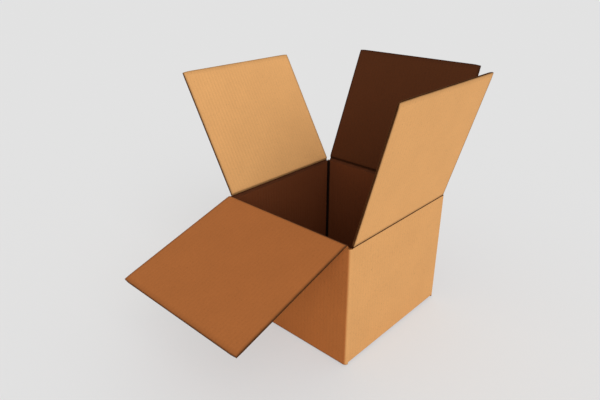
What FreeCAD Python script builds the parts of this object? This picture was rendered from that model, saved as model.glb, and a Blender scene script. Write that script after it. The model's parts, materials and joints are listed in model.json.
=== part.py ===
import FreeCAD, Part
import os

import Sketcher

# An open shipping carton of single-wall corrugated board, 305 x 305 x 240 mm inside. It stands on its
# bottom, the front wall is towards -Y and the right wall towards +X, with the origin under the middle of
# the bottom. One scored and slotted sheet makes the walls, the bottom and the four top flaps. The bottom
# flaps are folded in and glued. The top flaps swing at their scores and are solids of their own.

# Driving sizes, in millimetres and degrees, with what each one is.
SIZES = [
    ("inside_length", 305, "clear inside, left to right"),
    ("inside_width", 305, "clear inside, front to back"),
    ("inside_height", 240, "from the inner bottom to the closed side flaps"),
    ("board", 4, "thickness of the board"),
    ("fold_radius", 2, "inside radius of a folded corner"),
    ("side_flap", 268, "depth of the left and right flaps from their score"),
    ("score_step", 4.3, "front and back scores above the side scores"),
    ("slot_inset", 6.5, "edge of a panel inside the outer face of the next wall"),
    ("slot_overcut", 2, "how far a top slot runs below the side scores"),
    ("flap_side_gap", 0.5, "flap edge inside its wall's edge"),
    ("bottom_seam", 0.5, "gap between two bottom flaps that meet"),
    ("bead_radius", 0.6, "rolled liner along a score"),
    ("crease_gap", 0.25, "wall clear of the rolled liner"),
    ("mitre_angle", 49, "bevel of the crushed board at a score"),
    ("flute_pitch", 7.9, "wave length of the corrugation, before whole waves are fitted"),
    ("liner", 0.4, "thickness of the facing papers"),
    ("medium", 0.3, "thickness of the corrugated paper"),
    ("flute_valley", 1.0, "flat of the corrugated paper where it meets a facing"),
    ("crushed_band", 12, "length without flutes beside a score"),
    ("tape_leg", 30, "tape on each side of the corner"),
    ("tape_thickness", 0.3, "thickness of the paper tape"),
    ("tape_end_inset", 6, "end of the tape from the end of the corner"),
    ("front_angle", 198, "front flap at rest, from closed"),
    ("right_angle", 105, "right flap at rest, from closed"),
    ("back_angle", 113.5, "back flap at rest, from closed"),
    ("left_angle", 120, "left flap at rest, from closed"),
]

# Places worked out from the sizes, as expressions on the sheet.
HALF_LENGTH = "(sizes.inside_length / 2 + sizes.board)"
HALF_WIDTH = "(sizes.inside_width / 2 + sizes.board)"
SIDE_SCORE = "(sizes.inside_height + 3 * sizes.board)"
END_SCORE = f"({SIDE_SCORE} + sizes.score_step)"
END_FLAP = "(sizes.side_flap - sizes.score_step)"
OUTER_FOLD = "(sizes.fold_radius + sizes.board)"
BEVEL_RISE = "(sizes.board * tan(sizes.mitre_angle))"
CREASE_DROP = "(sizes.bead_radius + sizes.crease_gap)"
CORNER_FOOT = "sizes.board"
CORNER_TOP = f"({SIDE_SCORE} - sizes.slot_overcut)"
BOTTOM_TIP = "(sizes.bottom_seam / 2)"
FLUTE_RISE = "(sizes.board - 2 * sizes.liner - sizes.medium)"
SIDE_TIP = f"max({BOTTOM_TIP}; ({HALF_LENGTH} - {HALF_WIDTH} + {BOTTOM_TIP}))"

doc = FreeCAD.newDocument("carton")
sheet = doc.addObject("Spreadsheet::Sheet", "sizes")
for row, (alias, number, meaning) in enumerate(SIZES, start=1):
    sheet.set(f"A{row}", alias)
    sheet.set(f"B{row}", str(number))
    sheet.set(f"C{row}", meaning)
    sheet.setAlias(f"B{row}", alias)
doc.recompute()


def number(expression):
    """What an expression on the sheet comes to."""
    result = sheet.evalExpression(expression)
    return float(getattr(result, "Value", result))


def new_body(name):
    body = doc.addObject("PartDesign::Body", name)
    body.Label = name
    return body


def origin_feature(body, role):
    """One of a body's own planes or axes."""
    return next(item for item in body.Origin.OriginFeatures if item.Role == role)


def new_sketch(body, name, plane, offset=None):
    """A sketch on one of the body's planes, moved along the plane's normal by an expression."""
    sketch = body.newObject("Sketcher::SketchObject", name)
    sketch.AttachmentSupport = [(origin_feature(body, plane), "")]
    sketch.MapMode = "FlatFace"
    if offset:
        sketch.setExpression("AttachmentOffset.Base.z", offset)
    return sketch


def bound(sketch, kind, *place, size):
    """A driving constraint whose size follows an expression."""
    index = sketch.addConstraint(Sketcher.Constraint(kind, *place, number(size)))
    sketch.setExpression(f"Constraints[{index}]", size)


def pin(sketch, line, end, across, up):
    """Hold one end of a line at a place from the sketch's origin."""
    bound(sketch, "DistanceX", -1, 1, line, end, size=across)
    bound(sketch, "DistanceY", -1, 1, line, end, size=up)


def moved(place, distance, way):
    """An expression for a place moved along one axis: way is -1, 0 or 1."""
    return place if way == 0 else f"({place} {'+' if way > 0 else '-'} {distance})"


def outline(sketch, corners):
    """A closed loop, anticlockwise. A corner is (across, up) or (across, up, radius); a corner with a
    radius joins one level and one upright edge."""
    spots = [(number(corner[0]), number(corner[1])) for corner in corners]
    count = len(corners)
    ends = []
    for i, corner in enumerate(corners):
        if len(corner) == 2:
            ends.append((corner, corner))
            continue
        sides = []
        for neighbour in (spots[i - 1], spots[(i + 1) % count]):
            ways = [round(neighbour[k] - spots[i][k], 6) for k in (0, 1)]
            sides.append(tuple(moved(corner[k], corner[2], (ways[k] > 0) - (ways[k] < 0)) for k in (0, 1)))
        ends.append(tuple(sides))

    lines = []
    for i in range(count):
        start, end = ends[i][1], ends[(i + 1) % count][0]
        points = [FreeCAD.Vector(number(place[0]), number(place[1]), 0) for place in (start, end)]
        line = sketch.addGeometry(Part.LineSegment(*points), False)
        pin(sketch, line, 1, start[0], start[1])
        lines.append(line)

    for i, corner in enumerate(corners):
        before, after = lines[i - 1], lines[i]
        if len(corner) == 2:
            sketch.addConstraint(Sketcher.Constraint("Coincident", before, 2, after, 1))
            continue
        pin(sketch, before, 2, ends[i][0][0], ends[i][0][1])
        first = FreeCAD.Vector(number(ends[i][0][0]), number(ends[i][0][1]), 0)
        last = FreeCAD.Vector(number(ends[i][1][0]), number(ends[i][1][1]), 0)
        sharp = FreeCAD.Vector(*spots[i], 0)
        radius = number(corner[2])
        centre = first + last - sharp
        middle = centre + (sharp - centre).normalize() * radius
        arc = sketch.addGeometry(Part.Arc(first, middle, last), False)
        turns_left = (sharp - first).cross(last - sharp).z > 0
        sketch.addConstraint(Sketcher.Constraint("Coincident", before, 2, arc, 1 if turns_left else 2))
        sketch.addConstraint(Sketcher.Constraint("Coincident", arc, 2 if turns_left else 1, after, 1))
        bound(sketch, "Radius", arc, size=corner[2])


def new_pad(body, name, sketch, length, both_ways=False):
    pad = body.newObject("PartDesign::Pad", name)
    pad.Profile = sketch
    pad.setExpression("Length", length)
    pad.Midplane = both_ways
    return pad


def new_mirror(body, name, feature, plane):
    """A feature repeated across one of the body's planes, on the solid as it is so far."""
    mirror = body.newObject("PartDesign::Mirrored", name)
    mirror.Originals = [feature]
    mirror.MirrorPlane = (origin_feature(body, plane), [""])
    body.Tip = mirror
    doc.recompute()
    return mirror


def wall(body, name, plane, way, face, foot, score, tip, length):
    """One wall with the bottom flap folded in from its foot, as one bent strip of board. way is the side of
    the origin that it stands on, face how far out its outer face is, and the top is bevelled for the flap."""
    outer = f"({way} * {face})"
    inner = f"({way} * ({face} - sizes.board))"
    end = f"({way} * {tip})"
    outer_top = f"({score} - {CREASE_DROP})"
    loop = [
        (end, foot),
        (outer, foot, OUTER_FOLD),
        (outer, outer_top),
        (inner, f"({outer_top} - {BEVEL_RISE})"),
        (inner, f"({foot} + sizes.board)", "sizes.fold_radius"),
        (end, f"({foot} + sizes.board)"),
    ]
    sketch = new_sketch(body, f"{name}_section", plane)
    outline(sketch, loop if way > 0 else loop[::-1])
    return new_pad(body, name, sketch, length, both_ways=True)


def carton_body():
    """The walls and the bottom, as one folded sheet. The back left corner is where the sheet's two ends
    meet: the back wall runs out to the corner and the left wall stops short of it."""
    body = new_body("carton_body")
    wall_length = f"2 * ({HALF_LENGTH} - sizes.slot_inset)"
    wall_width = f"2 * ({HALF_WIDTH} - sizes.slot_inset)"
    front = wall(body, "front_wall", "YZ_Plane", -1, HALF_WIDTH, "0", END_SCORE, BOTTOM_TIP, wall_length)
    right = wall(body, "right_wall", "XZ_Plane", 1, HALF_LENGTH, "sizes.board", SIDE_SCORE, SIDE_TIP, wall_width)
    new_mirror(body, "left_wall", right, "YZ_Plane")
    new_mirror(body, "back_wall", front, "XZ_Plane")

    bend = new_sketch(body, "corner_section", "XY_Plane", CORNER_FOOT)
    panel_x = f"({HALF_LENGTH} - sizes.slot_inset)"
    panel_y = f"({HALF_WIDTH} - sizes.slot_inset)"
    inner_x = f"({HALF_LENGTH} - sizes.board)"
    inner_y = f"({HALF_WIDTH} - sizes.board)"
    outline(bend, [
        (panel_x, f"(-1 * {HALF_WIDTH})"),
        (HALF_LENGTH, f"(-1 * {HALF_WIDTH})", OUTER_FOLD),
        (HALF_LENGTH, f"(-1 * {panel_y})"),
        (inner_x, f"(-1 * {panel_y})"),
        (inner_x, f"(-1 * {inner_y})", "sizes.fold_radius"),
        (panel_x, f"(-1 * {inner_y})"),
    ])
    corner_height = f"{CORNER_TOP} - {CORNER_FOOT}"
    corner = new_pad(body, "front_right_corner", bend, corner_height)
    new_mirror(body, "front_left_corner", corner, "YZ_Plane")
    new_mirror(body, "back_right_corner", corner, "XZ_Plane")

    stub = new_sketch(body, "back_wall_end_section", "XY_Plane", CORNER_FOOT)
    outline(stub, [
        (f"(-1 * {HALF_LENGTH})", inner_y),
        (f"(-1 * {panel_x})", inner_y),
        (f"(-1 * {panel_x})", HALF_WIDTH),
        (f"(-1 * {HALF_LENGTH})", HALF_WIDTH),
    ])
    body.Tip = new_pad(body, "back_wall_end", stub, corner_height)
    return body


def joint_tape():
    """Paper tape folded round the back left corner, over the ends of the sheet."""
    body = new_body("joint_tape")
    section = new_sketch(body, "tape_section", "XY_Plane", f"{CORNER_FOOT} + sizes.tape_end_inset")
    left = f"(-1 * {HALF_LENGTH})"
    outside_x = f"({left} - sizes.tape_thickness)"
    outside_y = f"({HALF_WIDTH} + sizes.tape_thickness)"
    outline(section, [
        (outside_x, f"({HALF_WIDTH} - sizes.tape_leg)"),
        (left, f"({HALF_WIDTH} - sizes.tape_leg)"),
        (left, HALF_WIDTH),
        (f"({left} + sizes.tape_leg)", HALF_WIDTH),
        (f"({left} + sizes.tape_leg)", outside_y),
        (outside_x, outside_y),
    ])
    new_pad(body, "tape", section, f"{CORNER_TOP} - {CORNER_FOOT} - 2 * sizes.tape_end_inset")
    return body


def channel(sketch, centre, wide_level, narrow_level, lean):
    """The hollow of one flute: wide on a facing paper and narrow on the corrugated paper."""
    narrow = "sizes.flute_valley / 2"
    wide = f"({narrow} + {FLUTE_RISE} * {lean})"
    outline(sketch, [
        (f"({centre} - {wide})", wide_level),
        (f"({centre} - {narrow})", narrow_level),
        (f"({centre} + {narrow})", narrow_level),
        (f"({centre} + {wide})", wide_level),
    ])


def flutes(body, width, depth):
    """The corrugation, open at the free edge and crushed flat beside the score. Whole waves are fitted to
    the flap's width, so both side edges cut through the same part of a wave."""
    waves = f"round({width} / sizes.flute_pitch)"
    pitch = f"({width} / {waves})"
    reach = f"({pitch} / 2 - sizes.flute_valley)"
    climb = f"({FLUTE_RISE} - sizes.medium)"
    lean = (
        f"(({reach} * {climb} - sizes.medium * sqrt({reach}^2 + {climb}^2 - sizes.medium^2))"
        f" / ({climb}^2 - sizes.medium^2))"
    )
    section = new_sketch(body, "flute_section", "XZ_Plane", f"-1 * {depth}")
    under_outer = "(-1 * sizes.liner)"
    over_inner = "(sizes.liner - sizes.board)"
    channel(section, f"(-1 * {width} / 2 - {pitch} / 4)", over_inner, f"({over_inner} + {FLUTE_RISE})", lean)
    channel(section, f"({pitch} / 4 - {width} / 2)", under_outer, f"({under_outer} - {FLUTE_RISE})", lean)
    pocket = body.newObject("PartDesign::Pocket", "flute")
    pocket.Profile = section
    pocket.Reversed = True
    pocket.setExpression("Length", f"{depth} - sizes.crushed_band")
    row = body.newObject("PartDesign::LinearPattern", "flutes")
    row.Originals = [pocket]
    row.Direction = (origin_feature(body, "X_Axis"), [""])
    row.Mode = "Spacing"
    row.setExpression("Offset", pitch)
    row.setExpression("Occurrences", f"{waves} + 1")
    body.Tip = row


def flap(name, span, depth, score, turn, angle, hinge_x, hinge_y):
    """A top flap. It is made lying closed, with its score on the X axis, its outer face up and its free edge
    towards +Y, then opened by its angle about the score, turned to its wall and set on the wall's score."""
    body = new_body(name)
    width = f"(2 * ({span} - sizes.slot_inset - sizes.flap_side_gap))"
    board = new_sketch(body, "board_section", "YZ_Plane")
    outline(board, [
        ("0", "0"),
        (BEVEL_RISE, "(-1 * sizes.board)"),
        (depth, "(-1 * sizes.board)"),
        (depth, "0"),
    ])
    new_pad(body, "board", board, width, both_ways=True)

    bead = new_sketch(body, "bead_section", "YZ_Plane")
    round_edge = Part.Circle(FreeCAD.Vector(), FreeCAD.Vector(0, 0, 1), number("sizes.bead_radius"))
    circle = bead.addGeometry(round_edge, False)
    bead.addConstraint(Sketcher.Constraint("Coincident", circle, 3, -1, 1))
    bound(bead, "Radius", circle, size="sizes.bead_radius")
    new_pad(body, "rolled_liner", bead, width, both_ways=True)

    flutes(body, width, depth)
    place = f"vector({hinge_x}; {hinge_y}; {score})"
    body.setExpression("Placement", f"placement({place}; rotation({turn}; 0; {angle}))")
    return body


def all_parts():
    left, front = f"(-1 * {HALF_LENGTH})", f"(-1 * {HALF_WIDTH})"
    return [
        carton_body(),
        joint_tape(),
        flap("front_flap", HALF_LENGTH, END_FLAP, END_SCORE, 0, "sizes.front_angle", "0", front),
        flap("right_flap", HALF_WIDTH, "sizes.side_flap", SIDE_SCORE, 90, "sizes.right_angle", HALF_LENGTH, "0"),
        flap("back_flap", HALF_LENGTH, END_FLAP, END_SCORE, 180, "sizes.back_angle", "0", HALF_WIDTH),
        flap("left_flap", HALF_WIDTH, "sizes.side_flap", SIDE_SCORE, 270, "sizes.left_angle", left, "0"),
    ]


parts = all_parts()
doc.recompute()

for item in doc.Objects:
    if "Invalid" in item.State or "Error" in item.State:
        raise RuntimeError(f"{item.Label} did not recompute: {item.State}")
os.makedirs("parts", exist_ok=True)
for part in parts:
    shape = part.Shape
    if shape.isNull() or not shape.isValid() or len(shape.Solids) != 1:
        raise RuntimeError(f"{part.Label} is not one valid solid")
    shape.exportStep(f"parts/{part.Label}.step")
    print(f"{part.Label}: {shape.Volume / 1000:.1f} cm3, {len(shape.Faces)} faces")
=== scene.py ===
import json
import math

import bpy
import numpy as np
from mathutils import Euler, Matrix, Vector


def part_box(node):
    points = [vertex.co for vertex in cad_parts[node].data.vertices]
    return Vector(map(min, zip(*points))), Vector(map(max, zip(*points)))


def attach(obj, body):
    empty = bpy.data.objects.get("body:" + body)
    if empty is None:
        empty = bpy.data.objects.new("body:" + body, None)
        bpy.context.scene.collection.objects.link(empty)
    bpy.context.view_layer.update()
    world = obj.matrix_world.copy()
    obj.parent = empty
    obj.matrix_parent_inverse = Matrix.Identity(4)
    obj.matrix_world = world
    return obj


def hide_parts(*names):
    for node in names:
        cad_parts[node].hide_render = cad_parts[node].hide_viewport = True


# The looks of an open shipping carton. The walls and the tape come from the frame. The four top flaps are
# made here as corrugated board: two facing papers, the wavy paper between them and the crushed score.

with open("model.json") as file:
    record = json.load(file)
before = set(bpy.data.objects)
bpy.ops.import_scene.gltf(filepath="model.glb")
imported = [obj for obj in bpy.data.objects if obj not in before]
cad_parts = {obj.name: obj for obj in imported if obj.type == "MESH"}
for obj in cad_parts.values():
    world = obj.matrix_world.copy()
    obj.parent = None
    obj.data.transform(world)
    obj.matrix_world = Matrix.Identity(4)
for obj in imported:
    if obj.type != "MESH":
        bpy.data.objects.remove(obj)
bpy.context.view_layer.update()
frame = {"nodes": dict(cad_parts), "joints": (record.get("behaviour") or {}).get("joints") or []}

MM = 0.001

# The board, as in the frame: its thickness, its papers, the wave length of its flutes and the band beside a
# score in which they are crushed. The rolled liner along a score fills the gap to the wall below it.
BOARD = 4 * MM
LINER = 0.4 * MM
MEDIUM = 0.3 * MM
FLUTE_PITCH = 7.9 * MM
CRUSHED_BAND = 12 * MM
BEAD = 0.83 * MM

# Sections of the crushed band, as (from the score, outwards) in millimetres: the outer and inner facings,
# and the two sides of the flattened paper between them. The facings go on flat from there.
OUTER_CRUSH = ((0.4, -0.25), (1.2, -0.12), (3, -0.05), (7, 0))
INNER_CRUSH = ((0.35, -0.35), (2.2, -2), (3.9, -3.35), (4.6, -3.62), (5.6, -3.7), (8, -3.88))
CORE_TOP = ((1, -0.5), (4, -0.42), (12, -0.4))
CORE_BOTTOM = ((1, -0.9), (4.4, -3.3), (12, -3.6))

# Faces of a flap by material, points for each wave of the paper, and sides of the rolled liner.
OUTER, INNER, RAW, CREASE = 0, 1, 2, 3
WAVE_STEPS = 12
BEAD_SIDES = 16

# Wear of a flap: how far its corners and edges are softened, crushed, worn back and rippled. The last two
# widths are also how far a flap darkens towards its cut edges and how wide the painted shade beside its score
# is.
CORNER_REACH = 7 * MM
CORNER_CRUSH = 0.28
CORNER_WEAR = 0.9 * MM
EDGE_WEAR = 0.2 * MM
EDGE_CRUSH = 0.05
RIPPLE = 0.1 * MM
RIM_WIDTH = 2.5 * MM
CREASE_SHADE_WIDTH = 5 * MM

# The joint at each flap's score, how far the flap's middle bows outwards, and the tone of each face. The
# tones are painted light on faces turned to a side, painted shade on faces turned to the front or back, and
# painted deep shade on the inner faces of the back and right flaps.
FLAPS = {
    "front_flap": {"joint": "front_crease", "bow": 1.4 * MM, "outside": "sienna", "inside": "sienna"},
    "right_flap": {"joint": "right_crease", "bow": -1.2 * MM, "outside": "pale_tan", "inside": "umber"},
    "back_flap": {"joint": "back_crease", "bow": 1.2 * MM, "outside": "sienna", "inside": "umber"},
    "left_flap": {"joint": "left_crease", "bow": -1.4 * MM, "outside": "tan", "inside": "pale_tan"},
}

# Colours as they show on the box, in 8-bit sRGB. The board is one kraft with light and shade painted into it:
# tan and pale_tan are painted light on faces turned to a side, sienna and warm_sienna painted shade on faces
# turned to the front or back, umber painted deep shade on inner faces, shade the painted shade of the inside,
# the joint's tone painted deep shade beside the joint, and crease painted shade in a score. raw is the cut
# board and tape the paper tape.
TONES = {
    "tan": (215, 159, 100),
    "sienna": (163, 97, 49),
    "umber": (78, 40, 17),
    "shade": (112, 60, 32),
    "joint_shade": (30, 15, 8),
    "warm_sienna": (177, 106, 53),
    "pale_tan": (223, 166, 105),
    "crease": (92, 50, 25),
    "raw": (128, 78, 40),
    "tape": (201, 148, 92),
}
WHITE = (1, 1, 1, 1)
FLOOR_GREY = 226
SEEN_FLOOR_GREY = 229
SEEN_SHARE = 0.55
FLOOR_REACH = 30

WORLD_STRENGTH = 0.72
SUN_STRENGTH = 1.35
SUN_WIDTH = 50
SUN_TILT = 55
SUN_TURN = 57

# The camera, solved from the corners of the box and its flaps in the picture. Lengths in metres, angles in
# degrees, and the focal length in pixels of a picture 600 wide.
CAMERA_AZIMUTH = 42.9
CAMERA_ELEVATION = 24.36
CAMERA_PLACE = (0.6251, -0.7855, 0.6955)
FOCAL_PIXELS = 535.5
PHOTO_WIDTH = 600
SENSOR_WIDTH = 36


def linear(level):
    """An 8-bit sRGB level as a linear one."""
    part = level / 255
    return part / 12.92 if part <= 0.04045 else ((part + 0.055) / 1.055) ** 2.4


def colour(name):
    return (*[linear(level) for level in TONES[name]], 1)


def grey(level):
    return (*[linear(level)] * 3, 1)


class Nodes:
    """Short ways to add nodes to a material or a world."""

    def __init__(self, owner):
        owner.use_nodes = True
        self.tree = owner.node_tree
        self.tree.nodes.clear()

    def add(self, kind, inputs=None, **settings):
        node = self.tree.nodes.new(kind)
        for key, value in settings.items():
            setattr(node, key, value)
        for key, value in (inputs or {}).items():
            self.feed(node.inputs[key], value)
        return node

    def feed(self, socket, value):
        if isinstance(value, bpy.types.NodeSocket):
            self.tree.links.new(value, socket)
        else:
            socket.default_value = value

    def maths(self, operation, *values, clamp=False):
        node = self.add("ShaderNodeMath", operation=operation, use_clamp=clamp)
        for socket, value in zip(node.inputs, values):
            self.feed(socket, value)
        return node.outputs[0]

    def vector(self, operation, *values):
        node = self.add("ShaderNodeVectorMath", operation=operation)
        for socket, value in zip(node.inputs, values):
            self.feed(socket, value)
        return node.outputs[0]

    def between(self, value, low, high):
        """0 below low, 1 above high and smooth between them."""
        node = self.add("ShaderNodeMapRange", {0: value, 1: low, 2: high}, interpolation_type="SMOOTHSTEP")
        return node.outputs[0]

    def mix(self, factor, first, second, blend="MIX"):
        node = self.add("ShaderNodeMix", data_type="RGBA", blend_type=blend)
        self.feed(node.inputs[0], factor)
        self.feed(node.inputs[6], first)
        self.feed(node.inputs[7], second)
        return node.outputs[2]

    def noise(self, vector, scale, detail=3, roughness=0.5):
        """Noise from 0 to 1. scale is one number, or one for each axis."""
        if isinstance(scale, tuple):
            vector, scale = self.vector("MULTIPLY", vector, scale), 1
        inputs = {"Vector": vector, "Scale": scale, "Detail": detail, "Roughness": roughness}
        return self.add("ShaderNodeTexNoise", inputs).outputs[0]

    def about(self, value, spread, centre):
        """A value from 0 to 1 turned into a factor."""
        return self.maths("MULTIPLY_ADD", value, spread, centre)

    def product(self, *values):
        result = values[0]
        for value in values[1:]:
            result = self.maths("MULTIPLY", result, value)
        return result

    def darken(self, base, factor):
        """A colour times a number."""
        shade = self.add("ShaderNodeCombineXYZ", {0: factor, 1: factor, 2: factor}).outputs[0]
        return self.mix(1.0, base, shade, "MULTIPLY")


def kraft_finish(nodes, base, sheet, dark):
    """Kraft paper over flutes: fibres, pulp, clouds, flecks, scuffs and a faint ridge over each flute. base
    is the colour and sheet the place on the sheet in metres, with its first axis across the flutes and its
    second along them. dark, from 0 to 1, is how much darker a point is made: painted shade in a crease, on a
    bevel under a score or along the foot, and darker towards a cut edge."""
    fibres = nodes.noise(sheet, (1500, 260, 900), 4, 0.6)
    pulp = nodes.noise(sheet, 420, 5, 0.65)
    clouds = nodes.noise(sheet, 14, 3, 0.55)
    scuffs = nodes.noise(sheet, (38, 90, 60), 5, 0.7)
    flecks = nodes.between(nodes.noise(sheet, (640, 210, 500), 2, 0.5), 0.60, 0.70)
    across = nodes.add("ShaderNodeSeparateXYZ", {0: sheet}).outputs[0]
    turns = nodes.maths("MULTIPLY", across, 2 * math.pi / FLUTE_PITCH)
    ridge = nodes.maths("SINE", nodes.maths("ADD", turns, nodes.maths("MULTIPLY", clouds, 1.5)))

    # The ridge term paints a faint light and shade over each flute, about 1.5% either way, beside its bump.
    shade = nodes.product(nodes.about(fibres, 0.16, 0.92), nodes.about(pulp, 0.24, 0.88),
                          nodes.about(clouds, 0.14, 0.93), nodes.about(ridge, 0.015, 1.0),
                          nodes.about(flecks, -0.16, 1.01))
    worn = nodes.between(scuffs, 0.60, 0.80)
    shade = nodes.maths("ADD", shade, nodes.maths("MULTIPLY", worn, 0.07))
    # Painted shade in creases, on bevels and along the foot, and darkening towards cut edges, made patchy by
    # the scuffs.
    patchy_shade_and_edge_darkening = nodes.maths("MULTIPLY", dark, nodes.about(scuffs, 0.9, 0.5), clamp=True)
    shade = nodes.maths("MULTIPLY", shade, nodes.about(patchy_shade_and_edge_darkening, -0.55, 1.0))
    tinted = nodes.darken(base, shade)

    height = nodes.maths("MULTIPLY", ridge, 0.05 * MM)
    height = nodes.maths("ADD", height, nodes.maths("MULTIPLY", fibres, 0.04 * MM))
    height = nodes.maths("ADD", height, nodes.maths("MULTIPLY", pulp, 0.04 * MM))
    bump = nodes.add("ShaderNodeBump", {"Height": height, "Distance": 1.0, "Strength": 1.0})
    rough = nodes.about(pulp, 0.16, 0.78)
    shader = nodes.add(
        "ShaderNodeBsdfPrincipled", {"Base Color": tinted, "Roughness": rough, "Normal": bump.outputs[0]}
    )
    shader.inputs["Specular IOR Level"].default_value = 0.1
    nodes.add("ShaderNodeOutputMaterial", {"Surface": shader.outputs[0]})


def flap_paper(tone):
    """Kraft paper of one tone for the flaps, which carry their place on the sheet and how deep in a crease
    or how near to a cut edge each point lies."""
    material = bpy.data.materials.new(f"kraft_{tone}")
    nodes = Nodes(material)
    sheet = nodes.add("ShaderNodeAttribute", attribute_name="sheet").outputs["Vector"]
    rim = nodes.add("ShaderNodeAttribute", attribute_name="rim").outputs["Fac"]
    kraft_finish(nodes, colour(tone), sheet, rim)
    return material


def carton_paper():
    """Kraft paper for the walls and bottom, with light and shade painted into it: painted light on the side
    walls, painted shade on the front and back walls and deeper painted shade inside, each tone turning into
    the next one round a corner. Cut edges show the raw board."""
    material = bpy.data.materials.new("kraft_carton")
    nodes = Nodes(material)
    place = nodes.add("ShaderNodeTexCoord").outputs["Object"]
    x, y, z = nodes.add("ShaderNodeSeparateXYZ", {0: place}).outputs
    normal = nodes.add("ShaderNodeNewGeometry").outputs["Normal"]
    nx, ny, nz = nodes.add("ShaderNodeSeparateXYZ", {0: normal}).outputs
    low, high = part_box("carton_body")

    def below(value, limit):
        return nodes.maths("LESS_THAN", value, limit)

    def other(share):
        return nodes.maths("SUBTRACT", 1.0, share)

    def wall_sides(place, slope, face):
        """Whether a point is on the outer and on the inner side of the two walls at face on one axis."""
        far = nodes.maths("ABSOLUTE", place)
        out = nodes.maths("MULTIPLY", slope, nodes.maths("SIGN", place))
        skin = nodes.maths("GREATER_THAN", far, face - BOARD / 2)
        wall = nodes.maths("GREATER_THAN", far, face - 2 * BOARD)
        outer = nodes.product(skin, nodes.between(out, 0.2, 0.4))
        inner = nodes.product(wall, below(out, -0.2))
        return outer, inner

    outer_x, inner_x = wall_sides(x, nx, high.x)
    outer_y, inner_y = wall_sides(y, ny, high.y)
    low_half = below(z, high.z / 2)
    bottom = nodes.product(low_half, nodes.maths("GREATER_THAN", nz, 0.85))
    outside = nodes.maths("MAXIMUM", nodes.maths("MAXIMUM", outer_x, outer_y), below(nz, -0.5))
    inside = nodes.maths("MAXIMUM", nodes.maths("MAXIMUM", inner_x, inner_y), bottom)
    # Painted light and shade by the way a face turns: tan where it faces a side, warm_sienna where it faces
    # the front or back, each turning into the other round a corner, and the deeper painted shade inside.
    steep_x = nodes.maths("ABSOLUTE", nx)
    side = nodes.between(steep_x, 0.1, 0.9)
    base = nodes.mix(inside, colour("raw"), colour("shade"))
    base = nodes.mix(outside, base, nodes.mix(side, colour("warm_sienna"), colour("tan")))

    # Deep shade beside the joint where the two ends of the sheet meet, in the back left corner.
    depth_x = nodes.maths("SUBTRACT", x, low.x + BOARD)
    depth_y = nodes.maths("SUBTRACT", high.y - BOARD, y)
    beside = nodes.between(nodes.maths("MAXIMUM", depth_x, depth_y), 6 * MM, 3.5 * MM)
    beside = nodes.product(beside, below(nodes.maths("ABSOLUTE", nz), 0.2), other(outside))
    base = nodes.mix(beside, base, colour("joint_shade"))

    # Painted shade along the bevel under each score, beside the rolled liner, and along the folded foot where
    # the walls meet the floor.
    painted_bevel_shade = nodes.product(nodes.between(nz, 0.3, 0.5), below(nz, 0.9), other(low_half))
    painted_foot_shade = nodes.product(nodes.between(z, low.z + 7 * MM, low.z + 2 * MM), outside)
    dark = nodes.maths("MAXIMUM", painted_bevel_shade, painted_foot_shade)

    upright = nodes.maths("GREATER_THAN", steep_x, 0.7)
    across = nodes.mix(upright, nodes.add("ShaderNodeCombineXYZ", {0: x, 1: z, 2: y}).outputs[0],
                       nodes.add("ShaderNodeCombineXYZ", {0: y, 1: z, 2: x}).outputs[0])
    kraft_finish(nodes, base, across, dark)
    return material


def tape_paper():
    """Brown paper tape, smoother than the board and faintly shiny, with its side toward the carton painted
    umber as the deep shade in the joint.
    """
    material = bpy.data.materials.new("paper_tape")
    nodes = Nodes(material)
    place = nodes.add("ShaderNodeTexCoord").outputs["Object"]
    normal = nodes.add("ShaderNodeNewGeometry").outputs["Normal"]
    # Faces turned into the carton get umber, painted shade where the tape lies in the joint.
    outward = nodes.add("ShaderNodeVectorMath", {0: normal, 1: (-0.7, 0.7, 0)}, operation="DOT_PRODUCT")
    inner_side_shade = nodes.maths("LESS_THAN", outward.outputs["Value"], -0.3)
    streaks = nodes.noise(place, (900, 900, 60), 4, 0.6)
    clouds = nodes.noise(place, 30, 3, 0.6)
    shade = nodes.product(nodes.about(streaks, 0.14, 0.93), nodes.about(clouds, 0.16, 0.92))
    base = nodes.darken(nodes.mix(inner_side_shade, colour("tape"), colour("umber")), shade)
    bump = nodes.add("ShaderNodeBump", {"Height": streaks, "Distance": 0.03 * MM})
    shader = nodes.add("ShaderNodeBsdfPrincipled", {"Base Color": base, "Normal": bump.outputs[0]})
    shader.inputs["Roughness"].default_value = 0.5
    nodes.add("ShaderNodeOutputMaterial", {"Surface": shader.outputs[0]})
    return material


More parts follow.
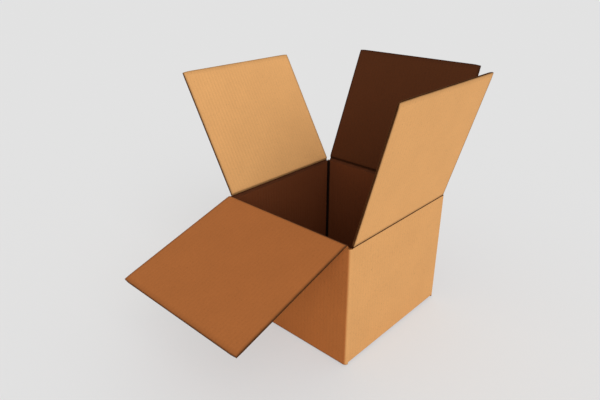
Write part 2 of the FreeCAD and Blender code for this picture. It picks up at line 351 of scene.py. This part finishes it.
class Piece:
    """Vertices and faces of one mesh, added to slab by slab."""

    def __init__(self):
        self.points = []
        self.faces = []
        self.finishes = []
        self.count = 0

    def face(self, corners, finish):
        self.faces.append(corners)
        self.finishes.append(finish)

    def grid(self, points):
        """Adds a grid of points, and gives the number of its first one."""
        first = self.count
        self.points.append(points.reshape(-1, 3))
        self.count += points.shape[0] * points.shape[1]
        return first

    def slab(self, top, bottom, top_finish, bottom_finish, rim_finish):
        """A closed sheet between two grids of points, each as rows x columns x 3."""
        rows, columns = top.shape[:2]
        size = rows * columns
        base = self.grid(top)
        self.grid(bottom)
        for i in range(rows - 1):
            for j in range(columns - 1):
                a = base + i * columns + j
                self.face((a, a + columns, a + columns + 1, a + 1), top_finish)
                self.face((a + size, a + size + 1, a + size + columns + 1, a + size + columns), bottom_finish)
        rim = [i * columns for i in range(rows)]
        rim += [(rows - 1) * columns + j for j in range(1, columns)]
        rim += [i * columns + columns - 1 for i in range(rows - 2, -1, -1)]
        rim += [j for j in range(columns - 2, 0, -1)]
        for this, following in zip(rim, rim[1:] + rim[:1]):
            a, b = base + this, base + following
            self.face((a, a + size, b + size, b), rim_finish)

    def build(self, name, place, rim, materials):
        """The mesh. place turns its own points into the frame's, and rim gives how dark each one is."""
        own = np.concatenate(self.points)
        mesh = bpy.data.meshes.new(name)
        mesh.from_pydata(place(own).tolist(), [], self.faces)
        for material in materials:
            mesh.materials.append(material)
        mesh.polygons.foreach_set("material_index", self.finishes)
        sheet = mesh.attributes.new("sheet", "FLOAT_VECTOR", "POINT")
        sheet.data.foreach_set("vector", own.astype(np.float32).ravel())
        depth = mesh.attributes.new("rim", "FLOAT", "POINT")
        depth.data.foreach_set("value", rim(own).astype(np.float32))
        mesh.update()
        piece = bpy.data.objects.new(name, mesh)
        bpy.context.scene.collection.objects.link(piece)
        return piece


def swept(xs, path):
    """A grid of points from places along the score and a section of (y, z) points."""
    section = np.array(path, float)
    grid = np.empty((len(xs), len(section), 3))
    grid[:, :, 0] = np.asarray(xs)[:, None]
    grid[:, :, 1] = section[None, :, 0]
    grid[:, :, 2] = section[None, :, 1]
    return grid


def flap_frame(name):
    """The flap's score and depth, and its directions: along the score, up the flap and out of its outer face.
    The point farthest from the score is on the free edge, one board's thickness inside the outer face."""
    joint = next(joint for joint in frame["joints"] if joint["name"] == FLAPS[name]["joint"])
    hinge, along = Vector(joint["pos_m"]), Vector(joint["axis"])
    offsets = [vertex.co - hinge for vertex in frame["nodes"][name].data.vertices]
    half = max(offset.dot(along) for offset in offsets)
    tip = max((offset - offset.dot(along) * along for offset in offsets), key=lambda offset: offset.length)
    depth = math.sqrt(tip.length ** 2 - BOARD ** 2)
    reach = Matrix.Rotation(math.atan2(BOARD, depth), 3, along) @ tip.normalized()
    return hinge, half, depth, (along, reach, along.cross(reach))


def facings(piece, xs, ys):
    """The outer and the inner facing paper, each between its seen side and its glued side."""
    for crush, level, way, finish in ((OUTER_CRUSH, 0, -1, OUTER), (INNER_CRUSH, -BOARD, 1, INNER)):
        seen = np.array([(y * MM, z * MM) for y, z in crush] + [(y, level) for y in ys])
        slope = np.gradient(seen, axis=0)
        slope /= np.linalg.norm(slope, axis=1)[:, None]
        inward = np.stack([-slope[:, 1], slope[:, 0]], axis=1) * way
        sides = [swept(xs, seen), swept(xs, seen + inward * LINER)]
        if finish == OUTER:
            piece.slab(*sides, OUTER, RAW, RAW)
        else:
            piece.slab(*sides[::-1], RAW, INNER, RAW)


def wavy_paper(piece, half, depth, waves):
    """The corrugated paper between the facings, open at the free edge."""
    xs = np.linspace(-half, half, WAVE_STEPS * waves + 1)
    turns = math.pi * waves * (xs + half) / half
    lift = (BOARD - 2 * LINER - MEDIUM) / 2
    slope = lift * math.pi * waves / half * np.cos(turns)
    length = np.sqrt(1 + slope ** 2)
    ys = np.linspace(CRUSHED_BAND - 0.5 * MM, depth - 0.15 * MM, 12)
    sides = []
    for way in (MEDIUM / 2, -MEDIUM / 2):
        side = swept(xs, [(y, 0) for y in ys])
        side[:, :, 0] = np.clip(xs - way * slope / length, -half, half)[:, None]
        side[:, :, 2] = (lift * np.sin(turns) - BOARD / 2 + way / length)[:, None]
        sides.append(side)
    piece.slab(*sides, RAW, RAW, RAW)


def bead(piece, xs):
    """The rolled liner, a closed round bar along the score."""
    turns = np.linspace(0, 2 * math.pi, BEAD_SIDES, endpoint=False)
    base = piece.grid(swept(xs, [(BEAD * math.cos(turn), BEAD * math.sin(turn)) for turn in turns]))
    for i in range(len(xs) - 1):
        for j in range(BEAD_SIDES):
            a = base + i * BEAD_SIDES + j
            b = base + i * BEAD_SIDES + (j + 1) % BEAD_SIDES
            piece.face((a, b, b + BEAD_SIDES, a + BEAD_SIDES), CREASE)
    last = base + (len(xs) - 1) * BEAD_SIDES
    piece.face(tuple(range(base, base + BEAD_SIDES))[::-1], CREASE)
    piece.face(tuple(range(last, last + BEAD_SIDES)), CREASE)


def make_flap(name):
    """One top flap as separate papers, in its node's place. It is made along the score, up the flap and out
    of its outer face, then bowed, worn and set on the score."""
    hinge, half, depth, directions = flap_frame(name)
    bow = FLAPS[name]["bow"]
    seed = sum(map(ord, name))
    waves = round(2 * half / FLUTE_PITCH)
    inner_xs = np.linspace(RIM_WIDTH - half, half - RIM_WIDTH, 2 * waves + 1)
    xs = np.concatenate([[-half, RIM_WIDTH / 2 - half], inner_xs, [half - RIM_WIDTH / 2, half]])
    inner_ys = np.linspace(CRUSHED_BAND, depth - RIM_WIDTH, 34)
    ys = np.concatenate([inner_ys, [depth - RIM_WIDTH / 2, depth]])

    piece = Piece()
    facings(piece, xs, ys)
    wavy_paper(piece, half, depth, waves)
    core = [swept(xs, [(y * MM, z * MM) for y, z in side]) for side in (CORE_TOP, CORE_BOTTOM)]
    piece.slab(*core, RAW, RAW, RAW)
    bead(piece, xs)

    def place(own):
        x, y, z = own[:, 0], own[:, 1], own[:, 2]
        spread = np.clip(y / depth, 0, 1)
        bulge = bow * np.sin(math.pi * spread) * (1 - (x / half) ** 2)
        to_side, to_edge = (np.abs(x) - half) / CORNER_REACH, (y - depth) / CORNER_REACH
        corner = np.exp(-(to_side ** 2 + to_edge ** 2))
        flat = np.clip(y / CRUSHED_BAND, 0, 1)
        crush = 1 - EDGE_CRUSH * flat - CORNER_CRUSH * corner
        ripple = RIPPLE * np.sin(x * 61 + seed) * np.sin(x * 23 + 2 * seed) * spread ** 8
        reach = y - EDGE_WEAR * flat - CORNER_WEAR * corner
        out = -BOARD / 2 + (z + BOARD / 2) * crush + bulge + ripple
        axes = np.array([list(direction) for direction in directions])
        return np.array(list(hinge)) + np.stack([x, reach, out], axis=1) @ axes

    # How dark each point is made: painted shade beside the score, and darker towards the cut edges.
    def rim(own):
        x, y = own[:, 0], own[:, 1]
        edge = np.minimum(half - np.abs(x), depth - y)
        return np.maximum(np.clip(1.3 - edge / RIM_WIDTH, 0, 1), np.clip(1.2 - y / CREASE_SHADE_WIDTH, 0, 1))

    # The rolled liner at the score takes the crease tone, painted shade in the score.
    tones = (FLAPS[name]["outside"], FLAPS[name]["inside"], "raw", "crease")
    flap = piece.build(f"{name}_board", place, rim, [papers[tone] for tone in tones])
    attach(flap, name)
    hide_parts(name)


def dress(name, material):
    """Gives a node of the frame its material."""
    slots = frame["nodes"][name].data.materials
    slots.clear()
    slots.append(material)


def make_floor():
    """A wide pale floor. What the camera sees of it is lifted about halfway to its own colour, so shadows on
    it stay faint."""
    mesh = bpy.data.meshes.new("floor")
    corners = [(x * FLOOR_REACH, y * FLOOR_REACH, 0) for x, y in ((-1, -1), (1, -1), (1, 1), (-1, 1))]
    mesh.from_pydata(corners, [], [(0, 1, 2, 3)])
    floor = bpy.data.objects.new("floor", mesh)
    bpy.context.scene.collection.objects.link(floor)
    material = bpy.data.materials.new("floor_paper")
    nodes = Nodes(material)
    matte = nodes.add("ShaderNodeBsdfDiffuse", {"Color": grey(FLOOR_GREY)})
    lifted = nodes.add("ShaderNodeEmission", {"Color": grey(SEEN_FLOOR_GREY)})
    seen = nodes.add("ShaderNodeLightPath").outputs["Is Camera Ray"]
    share = nodes.maths("MULTIPLY", seen, SEEN_SHARE)
    mixed = nodes.add("ShaderNodeMixShader", {0: share, 1: matte.outputs[0], 2: lifted.outputs[0]})
    nodes.add("ShaderNodeOutputMaterial", {"Surface": mixed.outputs[0]})
    mesh.materials.append(material)


def make_light():
    """An even white world, which the camera sees in the floor's colour, and one wide soft sun from the right
    and the front."""
    world = bpy.data.worlds.new("studio")
    bpy.context.scene.world = world
    nodes = Nodes(world)
    light = nodes.add("ShaderNodeBackground", {"Color": WHITE, "Strength": WORLD_STRENGTH})
    backdrop = nodes.add("ShaderNodeBackground", {"Color": grey(FLOOR_GREY)})
    seen = nodes.add("ShaderNodeLightPath").outputs["Is Camera Ray"]
    mixed = nodes.add("ShaderNodeMixShader", {0: seen, 1: light.outputs[0], 2: backdrop.outputs[0]})
    nodes.add("ShaderNodeOutputWorld", {"Surface": mixed.outputs[0]})

    sun = bpy.data.lights.new("key", "SUN")
    sun.energy = SUN_STRENGTH
    sun.angle = math.radians(SUN_WIDTH)
    key = bpy.data.objects.new("key", sun)
    key.rotation_euler = Euler((math.radians(SUN_TILT), 0, math.radians(SUN_TURN)))
    bpy.context.scene.collection.objects.link(key)


def make_camera():
    lens = bpy.data.cameras.new("camera")
    lens.sensor_width = SENSOR_WIDTH
    lens.lens = FOCAL_PIXELS / PHOTO_WIDTH * SENSOR_WIDTH
    lens.clip_end = 100
    camera = bpy.data.objects.new("camera", lens)
    camera.location = CAMERA_PLACE
    camera.rotation_euler = Euler((math.radians(90 - CAMERA_ELEVATION), 0, math.radians(CAMERA_AZIMUTH)))
    bpy.context.scene.collection.objects.link(camera)
    bpy.context.scene.camera = camera


papers = {tone: flap_paper(tone) for tone in TONES}
for name in FLAPS:
    make_flap(name)
dress("carton_body", carton_paper())
dress("joint_tape", tape_paper())
make_floor()
make_light()
make_camera()
bpy.context.scene.view_settings.view_transform = "Standard"
